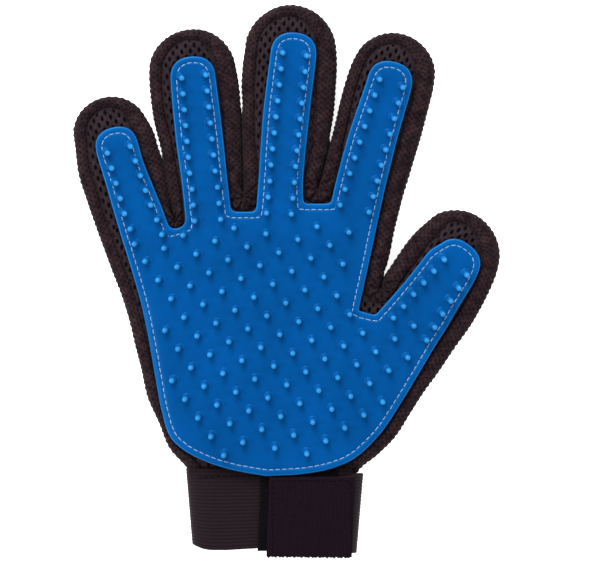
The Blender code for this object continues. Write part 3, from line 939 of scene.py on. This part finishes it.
def slab(name, at, pieces, piece, top, bottom, top_inner, bottom_inner, shade, material):
    """A closed panel inside a piece's border, between its top and bottom heights."""
    ring = border(at, pieces, piece)
    patch = Patch()
    upper = patch.add(np.column_stack([ring, top(ring)]), shade(ring))
    lower = patch.add(np.column_stack([ring, bottom(ring)]))
    patch.quads(np.stack([upper, lower]), wrap=True)
    patch.fill(upper, ring, top_inner, top, shade)
    patch.fill(lower, ring, bottom_inner, bottom)
    patch.points = [tucked(points) for points in patch.points]
    return patch.build(name, material)


# ---- silicone
def droop(points):
    """How far the silicone's border bends down over the little side of the palm."""
    low, high = DROOP_Y
    along = smooth((points[:, 1] - low) / DROOP_FADE) * smooth((high - points[:, 1]) / DROOP_FADE)
    near = np.clip(1 - nearest(points, evenly(curve(LITTLE_SIDE), RIM_STEP)) / DROOP_WIDE, 0, 1)
    return DROOP * near ** 2 * along


def drooped(height):
    return lambda points: height - droop(points)


face_height = drooped(PAD_FACE + FACE_RISE)
foot_height = drooped(PAD_FOOT)


def make_silicone(points, shades, top, foot, pieces, piece):
    """A closed piece of the silicone: rim, face and underside, capped at the root lines."""
    patch = Patch()
    faces, low, grids = [], [], []
    runs = pieces[piece]
    for run, over, under in zip(runs, joins(top, pieces, piece), joins(foot, pieces, piece)):
        ids = patch.add(points[run], shades)
        patch.quads(ids)
        over = patch.add(np.column_stack([over, face_height(over)]))
        under = patch.add(np.column_stack([under, foot_height(under)]))
        grids.append((ids, over, under))
        faces += [ids[:, -1], over]
        low += [ids[:, 0], under]
    for k, (ids, over, under) in enumerate(grids):
        after = grids[(k + 1) % len(grids)][0]
        cap = np.concatenate([ids[-1], over, after[0][::-1], under[::-1]])
        patch.faces.append(cap.tolist())
    ring = border(top, pieces, piece)
    patch.fill(np.concatenate(faces), ring, grid_inside([ring], *FACE_GRID), face_height)
    ring = border(foot, pieces, piece)
    patch.fill(np.concatenate(low), ring, grid_inside([ring], *FOOT_GRID), foot_height)
    return patch


def lean_of(tip, piece):
    """How far a nub's tip stands off its foot: they lean a little, more towards the wrist."""
    x, y = tip
    if piece == "thumb":
        return np.array(LEAN_THUMB)
    if piece != "hand":
        return np.array(LEAN_FINGER)
    return np.array([LEAN_PALM[0] + LEAN_GROWS * x / LEAN_OVER[0],
                     LEAN_PALM[1] - LEAN_GROWS * smooth(-y / LEAN_OVER[1])])


def lattice_spots(steps):
    return np.array(LATTICE) + steps @ np.array([LATTICE_E1, LATTICE_E2])


def nub_tips(inner_edge):
    """The nubs of each piece."""
    tips = {name: [] for name in FINGERS}
    tips["hand"] = []
    every = []
    for name, rows in ROWS.items():
        for first, last, count in rows:
            for q in np.linspace(first, last, count):
                above = along_finger(name, q[None])[0]
                tips[name if above > ROOT_CLEAR else "hand"].append(q)
                every.append(q)
    steps = np.indices((LATTICE_SPAN, LATTICE_SPAN)).reshape(2, -1).T - LATTICE_SPAN // 2
    for left_out in LATTICE_NOT:
        steps = steps[(steps != left_out).any(axis=1)]
    spots = lattice_spots(steps)
    spots = spots[inside(spots, inner_edge)]
    spots = spots[nearest(spots, inner_edge) > LATTICE_EDGE]
    spots = spots[nearest(spots, np.array(every)) > LATTICE_ROWS]
    for name in FINGERS:
        across = (spots - ROOTS[name]["root"]) @ ROOTS[name]["across"]
        spots = spots[(along_finger(name, spots) < LATTICE_ROOT) | (abs(across) > STRIP_REACH)]
    tips["hand"] += list(spots) + list(lattice_spots(np.array(LATTICE_ALSO)))
    return tips


def add_nubs(patch, tips, piece):
    bases = face_height(np.array(tips)) - FACE_RISE
    foot_glow, side_glow, head_highlight = NUB_GLOW
    for tip, base in zip(tips, bases):
        lean = lean_of(tip, piece)
        turn = np.linspace(0, 2 * math.pi, NUB_SIDES, endpoint=False)
        rings = []
        for radius, height in NUB_PROFILE:
            share = height / NUB_TOP
            centre = tip - lean * (1 - share)
            rings.append(np.column_stack([centre[0] + radius * np.cos(turn),
                                          centre[1] + radius * np.sin(turn),
                                          np.full(NUB_SIDES, base + height)]))
        heights = np.array([height for _, height in NUB_PROFILE]) / NUB_TOP
        # painted glow up the nub's side and a painted highlight at its head
        pale = foot_glow + side_glow * smooth(heights / NUB_SIDE)
        pale += head_highlight * fade(heights, NUB_HEAD)
        shades = pale[:, None] + np.zeros((1, NUB_SIDES))
        ids = patch.add(np.array(rings), shades)
        patch.quads(ids, wrap=True)
        top = patch.add([[tip[0], tip[1], base + NUB_TOP]], NUB_TOP_HIGHLIGHT)[0]
        for k in range(NUB_SIDES):
            patch.faces.append([int(ids[-1][k]), int(ids[-1][(k + 1) % NUB_SIDES]), int(top)])
        patch.faces.append(ids[0].tolist())


# ---- stitches
def add_stitch(patch, a, b, radius, shade):
    """One stitch: a thread that rises from the cloth at a and dips back in at b."""
    along = b - a
    along = along / np.linalg.norm(along)
    side = np.cross([0, 0, 1.0], along)
    side /= np.linalg.norm(side)
    up = np.cross(along, side)
    turn = np.linspace(0, 2 * math.pi, STITCH_SIDES, endpoint=False)
    rings = []
    for t, size, rise in STITCH_SHAPE:
        centre = a + (b - a) * t + up * rise * radius
        ring = np.outer(np.cos(turn), side) + np.outer(np.sin(turn), up) * STITCH_FLAT
        rings.append(centre + ring * radius * size)
    patch.tube(np.array(rings), shade)


def stitch_line(patches, line, height, kind, rng, owner):
    """Stitches along a line; owner(point) names the patch that each goes to."""
    pitch, share, radius = kind
    points = evenly(line, pitch)
    for a, b in zip(points, points[1:]):
        off = rng.uniform(-STITCH_STRAY, STITCH_STRAY, 4)
        gap = (1 - share) / 2
        start = a + (b - a) * gap + off[:2]
        end = b - (b - a) * gap + off[2:]
        low, high = height(np.array([start, end]))
        add_stitch(patches[owner((a + b) / 2)], np.append(start, low), np.append(end, high),
                   radius, rng.uniform(0, 1))


# ---- cuff
def taper(x, y):
    """The cuff narrows a little towards its lower edge."""
    return CUFF_MIDDLE + (x - CUFF_MIDDLE) * (1 - CUFF_TAPER * (CUFF_Y[1] - y) / CUFF_TALL)


def make_elastic(name, line, low_edge, high_edge, material):
    """A ribbed elastic tape that follows a line of (X, Z) points, its ribs along the line."""
    line = evenly(curve(line), ELASTIC_STEP)
    out = -normals_of(line)
    ribs = int((high_edge(0) - low_edge(0)) / RIB_PITCH)
    k = np.linspace(0, 1, ribs * RIB_STEPS + 1)
    swing = np.abs(np.sin(np.pi * k * ribs))
    flat_edge = 1 - smooth(np.minimum(k, 1 - k) * RIB_EDGE)
    relief = RIB_RISE * swing ** RIB_ROUND - RIB_RISE * flat_edge
    # painted shade in the grooves between the ribs
    groove_shade = 1 - smooth(swing / RIB_GROOVE)
    patch = Patch()
    rings, shades = [], []
    for (x, z), (nx, nz) in zip(line, out):
        y = low_edge(x) + (high_edge(x) - low_edge(x)) * k
        half = ELASTIC_HALF + relief
        face = np.stack([taper(x + nx * half, y), y, z + nz * half], axis=1)
        back = np.stack([taper(x - nx * half, y), y, z - nz * half], axis=1)
        rings.append(np.concatenate([face, back[::-1]]))
        shades.append(np.concatenate([groove_shade, groove_shade[::-1]]))
    patch.tube(np.array(rings), np.array(shades))
    return patch.build(name, material)


def wrist_low(x):
    start, width, power = LOWER_TURN
    turned_up = LOWER_ROUND * np.clip((start - x) / width, 0, 1) ** power
    return CUFF_Y[0] + turned_up + LOWER_SLOPE * np.clip(x + LOWER_RISE[0], 0, LOWER_RISE[1])


def strap_high(x):
    return STRAP_Y[1] - STRAP_SLOPE * (1 - fade(x, STRAP_DROP))


def make_tape(name, xs, low_edge, y_high, heights, relief, material, step=TAPE_STEP):
    """A flat piece of tape: xs its sides, low_edge(x) its lower edge, relief(x, y) its surface and
    painted shade.
    """
    z_low, z_high = heights
    nx = int((xs[1] - xs[0]) / step)
    x = np.linspace(xs[0], xs[1], nx + 1)
    low = low_edge(x)
    ny = int((y_high - low.mean()) / step)
    k = np.linspace(0, 1, ny + 1)
    y = low[:, None] + (y_high - low[:, None]) * k
    gx = np.broadcast_to(x[:, None], y.shape)
    edge = np.minimum(np.minimum(gx - xs[0], xs[1] - gx), np.minimum(y - low[:, None], y_high - y))
    rounding = TAPE_ROUND * (1 - smooth(edge / TAPE_EDGE))
    up, recess_shade = relief(gx, y)
    patch = Patch()
    wide = gx + TAB_SKEW * (y - TAB_Y[1])
    face = patch.add(np.stack([wide, y, z_high + up - rounding], axis=-1), recess_shade)
    under = z_low + rounding * TAPE_BACK[0] - up * TAPE_BACK[1]
    back = patch.add(np.stack([wide, y, under], axis=-1), recess_shade)
    patch.quads(face)
    patch.quads(back)
    rim = [np.concatenate([g[:-1, 0], g[-1, :-1], g[:0:-1, -1], g[0, :0:-1]])
           for g in (face, back)]
    patch.quads(np.stack(rim), wrap=True)
    return patch.build(name, material)


def teeth(x):
    """The tab's cut lower edge, in small uneven teeth."""
    return TAB_Y[0] + 0.28 * np.sin(x * 4.1) + 0.16 * np.sin(x * 2.3 + 1.0) - 0.012 * (x - 10)


# each relief gives a height and a painted shade that is darker where the tape is lower
def hook_relief(x, y):
    rib = np.cos(2 * np.pi * x / HOOK_PITCH)
    speck = np.cos(2 * np.pi * y / 0.9 + np.pi * np.round(x / HOOK_PITCH))
    return 0.07 * rib + 0.05 * speck, 0.5 - 0.5 * rib


def pile_relief(x, y):
    fuzz = np.sin(x * 3.9 + 2 * np.sin(y * 2.3)) * np.sin(y * 4.3 + 2 * np.sin(x * 1.9))
    return 0.12 * fuzz, 0.5 - 0.4 * fuzz


def field_relief(x, y):
    stub = np.cos(2 * np.pi * x / HOOK_PITCH) * np.cos(2 * np.pi * y / HOOK_PITCH)
    return 0.2 * np.clip(stub, 0, 1), 0.5 - 0.5 * stub


def place(obj, piece, slot, *nodes):
    """The object replaces CAD nodes, and goes with a body; a finger's piece only has its transform
    baked, and does not bend.
    """
    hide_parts(*nodes)
    if piece in FINGERS:
        bend_with(obj)
    else:
        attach(obj, piece)


def plain_edge(value):
    return lambda x: value + 0.0 * np.asarray(x)


def flat_at(value):
    return lambda points: np.full(len(points), value)


# ---- the pieces
cloth = mesh_cloth("spacer_mesh_band", FABRIC, FABRIC_BROWN, 0.17)
palm_cloth = mesh_cloth("spacer_mesh_palm", FABRIC_PALM, FABRIC_NET, 0.2)
blue = silicone()
white_thread = thread("thread_white", (0.23, 0.36, 0.54), (0.10, 0.20, 0.38), 0.06)
dark_thread = thread("thread_dark", (0.0050, 0.0028, 0.0050), (0.0020, 0.0010, 0.0020), 0.01)
# each tape's third colour is the painted shade in its grooves
elastic = woven("elastic", (0.0135, 0.0074, 0.0100), (0.0068, 0.0037, 0.0052),
                (0.0045, 0.0027, 0.0040), 2.4, (0.5, 1.6, 1), 0.04)
tape = woven("hook_tape", (0.0105, 0.0054, 0.0098), (0.0032, 0.0016, 0.0036),
             (0.0040, 0.0020, 0.0042), 1.8, (2.4, 0.7, 1), 0.02)
pile = woven("loop_pile", (0.007, 0.005, 0.007), (0.002, 0.0015, 0.002), (0.001, 0.001, 0.001),
             1.2, (1, 1, 1), 0.02)

path, inward, owner = cloth_outline()
cuts = cut_at_roots(path, owner, closed=False)
pad_path = silicone_outline()
pad_turn = unit(mitred(pad_path, 1.0) - pad_path)
middles = [(np.array(first[0]) + np.array(second[0])) / 2 for first, second in VALLEYS]
passed = [np.argmin(lengths(pad_path - middle)) for middle in middles]
pad_owner = np.searchsorted(passed, np.arange(len(pad_path)))
pad_cuts = cut_at_roots(pad_path, pad_owner, closed=True)
sharp_path = silicone_outline(sharp=True)
stitch_path = mitred(sharp_path, STITCH_U)
corners = [lengths(sharp_path - np.array(corner)).argmin()
           for pair in VALLEYS for corner, _ in pair]

depth = seam_depths(path, inward, owner, pad_path)
band, band_pits = band_points(path, inward, band_profile(), depth)
seam = path + inward * depth[:, None]
hem = path + inward * HEM
pad_edge_seam = pad_path + pad_turn * UNDER_PAD


def lean_angle(piece):
    if piece == "hand":
        return 0.0
    along = ROOTS[piece]["along"]
    return math.atan2(along[0], along[1])


def palm_height(points):
    """The palm cloth's face: out of the seam's groove, and pressed down under the silicone."""
    rise = SEAM_Z + SEAM_SLOPE[0] * smooth(nearest(points, seam) / SEAM_SLOPE[1])
    out = np.where(inside(points, pad_path), 0.0, nearest(points, pad_path))
    return np.minimum(rise, PALM_Z + PALM_LIP[0] * smooth(out / PALM_LIP[1]) - droop(points))


HAND_BANDS = ("hand_little_gusset", "ring_little_gusset", "middle_ring_gusset",
              "index_middle_gusset", "thumb_index_gusset", "hand_thumb_gusset")


def make_cloth(piece):
    """A finger's or the hand's palm cloth and back cloth."""
    ring = border(seam, cuts, piece)
    under = border(pad_edge_seam, pad_cuts, piece)
    inner = np.concatenate([grid_inside([ring, under], *FINE), grid_inside([under], *UNDER)])
    lean = lean_angle(piece)

    def holes(points):
        return mesh_holes(points, lean) * smooth(nearest(points, seam) / HOLE_CLEAR)

    # painted shade in the holes and along the seam's line
    def dark(points):
        line = 1 - smooth(nearest(points, seam) / SEAM_LINE)
        return np.maximum(holes(points), SEAM_SHADE * line)

    def top(points):
        relief = PALM_LIFT + unevenness(points) * PALM_UNEVEN + gathers(points)
        relief -= HOLE_DEPTH * holes(points)
        clear = smooth(nearest(points, seam) / SEAM_LINE)
        cover = np.where(inside(points, pad_path), 0.0, 1.0)
        return palm_height(points) + relief * clear * cover

    palm = slab(f"{piece}_palm_cloth", seam, cuts, piece, top, flat_at(PALM_UNDER), inner,
                grid_inside([ring], *COARSE), dark, palm_cloth)
    rest = grid_inside([border(hem, cuts, piece)], *COARSE)
    back = slab(f"{piece}_back_cloth", hem, cuts, piece, flat_at(BACK_Z[1]), flat_at(BACK_Z[0]),
                rest, rest, flat_at(0.0), cloth)
    place(palm, piece, "spacer_mesh", f"{piece}_palm_mesh")
    place(back, piece, "spacer_mesh", f"{piece}_back_mesh")


rim = np.array(RIM)
rim_points = np.concatenate([
    (pad_path[:, None] + pad_turn[:, None] * rim[None, :, :1]),
    np.broadcast_to(rim[None, :, 1:], (len(pad_path), len(rim), 1))], axis=-1)
rim_points[..., 2] -= droop(rim_points[..., :2].reshape(-1, 2)).reshape(rim_points.shape[:2])
# painted sheen on the border out to the stitches
rim_shades = np.where(rim[:, 0] < STITCH_U, BORDER_SHEEN, 0.0) * (rim[:, 1] > BORDER_LOW)
# painted highlight on the rounded edge
rim_shades[(rim[:, 0] < EDGE[0]) & (rim[:, 1] > EDGE[1])] = EDGE_HIGHLIGHT
pad_top = pad_path + pad_turn * rim[-1, 0]
pad_foot = pad_path + pad_turn * rim[0, 0]
tips = nub_tips(stitch_path)

stitching = {name: Patch() for name in FINGERS + ("hand",)}


def stitch_owner(point):
    for name in FINGERS:
        off = point - ROOTS[name]["root"]
        if off @ ROOTS[name]["along"] > 0 and abs(off @ ROOTS[name]["across"]) < STITCH_REACH:
            return name
    return "hand"


rng = np.random.default_rng(7)
for first, last in zip(corners, corners[1:] + [corners[0] + len(stitch_path)]):
    line = stitch_path[np.arange(first, last + 1) % len(stitch_path)]
    stitch_line(stitching, line, drooped(PAD_STITCH_Z), PAD_STITCH, rng, stitch_owner)

for piece in FINGERS + ("hand",):
    make_cloth(piece)
    patch = make_silicone(rim_points, rim_shades, pad_top, pad_foot, pad_cuts, piece)
    add_nubs(patch, tips[piece], piece)
    sheet = patch.build(f"{piece}_silicone", blue)
    place(sheet, piece, "silicone",
          "grooming_pad" if piece == "hand" else f"{piece}_grooming_strip")
    seams = stitching[piece].build(f"{piece}_stitching", white_thread)
    if piece == "hand":
        place(seams, piece, "thread", "palm_edge_thread", "thumb_index_thread",
              "index_middle_thread", "middle_ring_thread", "ring_little_thread")
    else:
        side = make_band(f"{piece}_side_band", band, band_pits, cuts[piece][0], cloth)
        place(side, piece, "spacer_mesh", f"{piece}_side_gusset")
        place(seams, piece, "thread", f"{piece}_stitch_thread")

for node, run in zip(HAND_BANDS, cuts["hand"]):
    side = make_band(node.replace("gusset", "band"), band, band_pits, run, cloth)
    place(side, "hand", "spacer_mesh", node)

wrist = make_elastic("wrist_band", HAND_ELASTIC, wrist_low, plain_edge(CUFF_Y[1]), elastic)
place(wrist, "hand", "elastic", "wrist_elastic")
wrap = make_elastic("strap_band", STRAP_ELASTIC, plain_edge(STRAP_Y[0]), strap_high, elastic)
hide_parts("strap_elastic")
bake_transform(wrap)
loops = make_tape("loop_tape", LOOP_X, plain_edge(LOOP_Y[0]), LOOP_Y[1], LOOP_Z, pile_relief, pile)
place(loops, "hand", "loop_pile", "loop_patch")
tab = make_tape("hook_tab", TAB_X, teeth, TAB_Y[1], TAB_Z, hook_relief, tape)
place(tab, "strap", "hook_tape", "hook_tape")
field = make_tape("hook_face", (TAB_X[0] + FIELD_IN[0], FIELD_END),
                  plain_edge(TAB_Y[0] + FIELD_IN[1]), TAB_Y[1] - FIELD_IN[1], FIELD_Z, field_relief,
                  tape, step=FIELD_STEP)
place(field, "strap", "hook_tape", "hook_field")

cuff_seam, strap_seam = Patch(), Patch()
stitch_line([cuff_seam], np.array(CUFF_SEAM), flat_at(CUFF_SEAM_Z), CUFF_STITCH, rng, lambda q: 0)
seam_left, seam_right = TAB_X[0] + STRAP_SEAM_IN, TAB_X[1] - STRAP_SEAM_IN
seam_low, seam_high = TAB_Y[0] + STRAP_SEAM_IN + 1, TAB_Y[1] - STRAP_SEAM_IN
around = np.array([(seam_left, seam_low), (seam_left, seam_high), (seam_right, seam_high),
                   (seam_right, seam_low)])
stitch_line([strap_seam], around, flat_at(STRAP_SEAM_Z), STRAP_STITCH, rng, lambda q: 0)
cuff_stitches = cuff_seam.build("cuff_stitching", dark_thread)
place(cuff_stitches, "hand", "thread", "cuff_stitch_thread")
strap_stitches = strap_seam.build("strap_stitching", dark_thread)
place(strap_stitches, "strap", "thread", "strap_stitch_thread")


# ---- studio
def make_floor():
    corners = [(x * FLOOR_HALF, y * FLOOR_HALF, FLOOR_LOW)
               for x, y in ((-1, -1), (1, -1), (1, 1), (-1, 1))]
    mesh = bpy.data.meshes.new("floor")
    mesh.from_pydata(corners, [], [(0, 1, 2, 3)])
    floor = bpy.data.objects.new("floor", mesh)
    bpy.context.scene.collection.objects.link(floor)
    mesh.materials.append(material("floor_white", 0.9, 0.1))
    shader = shader_of(mesh.materials[0])
    shader.inputs["Base Color"].default_value = (0.92, 0.92, 0.92, 1)
    shader.inputs["Emission Color"].default_value = (1, 1, 1, 1)
    shader.inputs["Emission Strength"].default_value = FLOOR_GLOW


def make_light(name, place_at, size, power):
    data = bpy.data.lights.new(name, "AREA")
    data.shape = "DISK"
    data.size = size
    data.energy = power
    lamp = bpy.data.objects.new(name, data)
    lamp.location = place_at
    lamp.rotation_euler = (-Vector(place_at)).to_track_quat("-Z", "Y").to_euler()
    bpy.context.scene.collection.objects.link(lamp)


def make_world():
    world = bpy.data.worlds.new("studio")
    world.use_nodes = True
    world.node_tree.nodes["Background"].inputs["Color"].default_value = (1, 1, 1, 1)
    world.node_tree.nodes["Background"].inputs["Strength"].default_value = WORLD
    bpy.context.scene.world = world


def make_camera():
    data = bpy.data.cameras.new("camera")
    data.sensor_width = SENSOR
    data.lens = SENSOR * (CAMERA_HEIGHT - FACE_METRES) / FRAME_WIDTH
    data.clip_start = 0.01
    camera = bpy.data.objects.new("camera", data)
    camera.location = (*CAMERA_AT, CAMERA_HEIGHT)
    bpy.context.scene.collection.objects.link(camera)
    bpy.context.scene.camera = camera


make_floor()
make_world()
for name, (place_at, size, power) in LIGHTS.items():
    make_light(name, place_at, size, power)
make_camera()
bpy.context.scene.view_settings.view_transform = "Standard"
